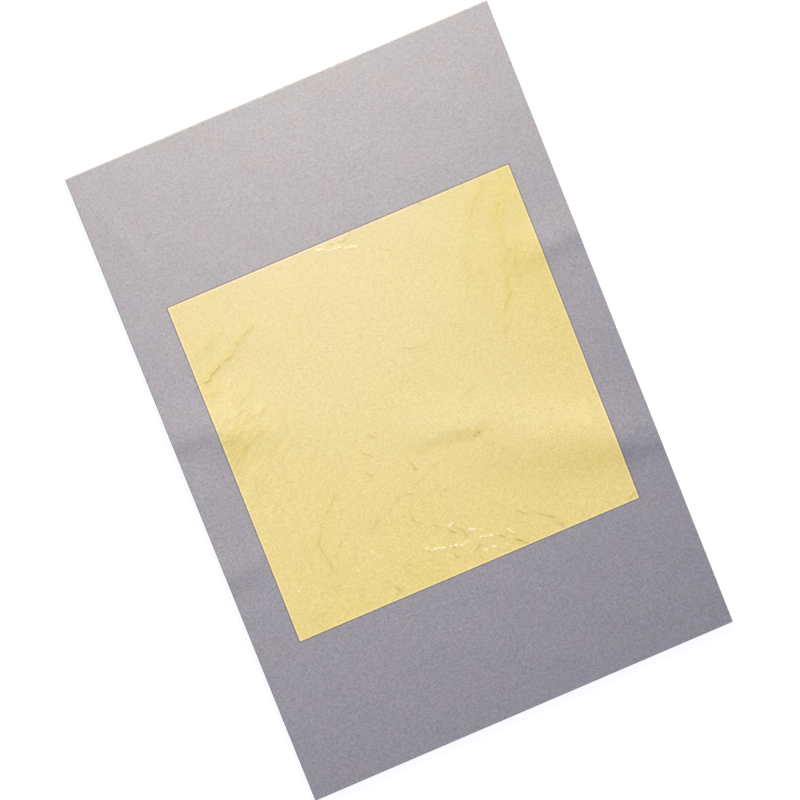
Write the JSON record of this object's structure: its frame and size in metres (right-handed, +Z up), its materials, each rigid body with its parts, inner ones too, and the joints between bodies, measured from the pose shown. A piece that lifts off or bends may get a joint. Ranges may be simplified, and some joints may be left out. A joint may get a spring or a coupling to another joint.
{
  "type": "gold leaf booklet",
  "caption": "Thin booklet of backing sheets gummed at the foot, a square gold leaf pressed on each, in a creased card cover folded right back under the block.",
  "frame": {"origin": "middle of the underside", "axes": "+X across the sheets, +Y from the gummed foot edge to the head, +Z up out of the top leaf"},
  "size_m": [0.0986, 0.1492, 0.0011],
  "materials": {
    "backing_paper": "thin matte tissue, lilac grey",
    "gold_leaf": "satin beaten gold, pale",
    "cover_card": "matte solid card, a darker lilac grey",
    "gum": "dried clear padding gum that shows the paper's colour"
  },
  "bodies": {
    "back": {"cover_back_panel": "cover_card", "edge_gum": "gum"},
    "spine_fold": {"cover_spine_panel": "cover_card"},
    "front_fold": {"cover_front_panel": "cover_card"},
    "page_10": {"sheet_10": "backing_paper", "leaf_10": "gold_leaf"},
    "page_09": {"sheet_09": "backing_paper", "leaf_09": "gold_leaf"},
    "page_08": {"sheet_08": "backing_paper", "leaf_08": "gold_leaf"},
    "page_07": {"sheet_07": "backing_paper", "leaf_07": "gold_leaf"},
    "page_06": {"sheet_06": "backing_paper", "leaf_06": "gold_leaf"},
    "page_05": {"sheet_05": "backing_paper", "leaf_05": "gold_leaf"},
    "page_04": {"sheet_04": "backing_paper", "leaf_04": "gold_leaf"},
    "page_03": {"sheet_03": "backing_paper", "leaf_03": "gold_leaf"},
    "page_02": {"sheet_02": "backing_paper", "leaf_02": "gold_leaf"},
    "page_01": {"sheet_01": "backing_paper", "leaf_01": "gold_leaf"}
  },
  "joints": [
    {"name": "cover_spine_crease", "type": "hinge", "parent": "back", "child": "spine_fold", "pos_m": [0, -0.07459, 0.00026], "axis": [1, 0, 0], "range_deg": [-270, 0]},
    {"name": "cover_front_crease", "type": "hinge", "parent": "spine_fold", "child": "front_fold", "pos_m": [0, -0.07261, 0], "axis": [1, 0, 0], "range_deg": [-90, 0]},
    {"name": "page_10_turn", "type": "hinge", "parent": "back", "child": "page_10", "pos_m": [0, -0.07411, 0.00114], "axis": [1, 0, 0], "range_deg": [0, 6]},
    {"name": "page_09_turn", "type": "hinge", "parent": "page_10", "child": "page_09", "pos_m": [0, -0.07411, 0.00114], "axis": [1, 0, 0], "range_deg": [0, 6]},
    {"name": "page_08_turn", "type": "hinge", "parent": "page_09", "child": "page_08", "pos_m": [0, -0.07411, 0.00114], "axis": [1, 0, 0], "range_deg": [0, 6]},
    {"name": "page_07_turn", "type": "hinge", "parent": "page_08", "child": "page_07", "pos_m": [0, -0.07411, 0.00114], "axis": [1, 0, 0], "range_deg": [0, 6]},
    {"name": "page_06_turn", "type": "hinge", "parent": "page_07", "child": "page_06", "pos_m": [0, -0.07411, 0.00114], "axis": [1, 0, 0], "range_deg": [0, 6]},
    {"name": "page_05_turn", "type": "hinge", "parent": "page_06", "child": "page_05", "pos_m": [0, -0.07411, 0.00114], "axis": [1, 0, 0], "range_deg": [0, 6]},
    {"name": "page_04_turn", "type": "hinge", "parent": "page_05", "child": "page_04", "pos_m": [0, -0.07411, 0.00114], "axis": [1, 0, 0], "range_deg": [0, 6]},
    {"name": "page_03_turn", "type": "hinge", "parent": "page_04", "child": "page_03", "pos_m": [0, -0.07411, 0.00114], "axis": [1, 0, 0], "range_deg": [0, 6]},
    {"name": "page_02_turn", "type": "hinge", "parent": "page_03", "child": "page_02", "pos_m": [0, -0.07411, 0.00114], "axis": [1, 0, 0], "range_deg": [0, 6]},
    {"name": "page_01_turn", "type": "hinge", "parent": "page_02", "child": "page_01", "pos_m": [0, -0.07411, 0.00114], "axis": [1, 0, 0], "range_deg": [0, 124]}
  ]
}
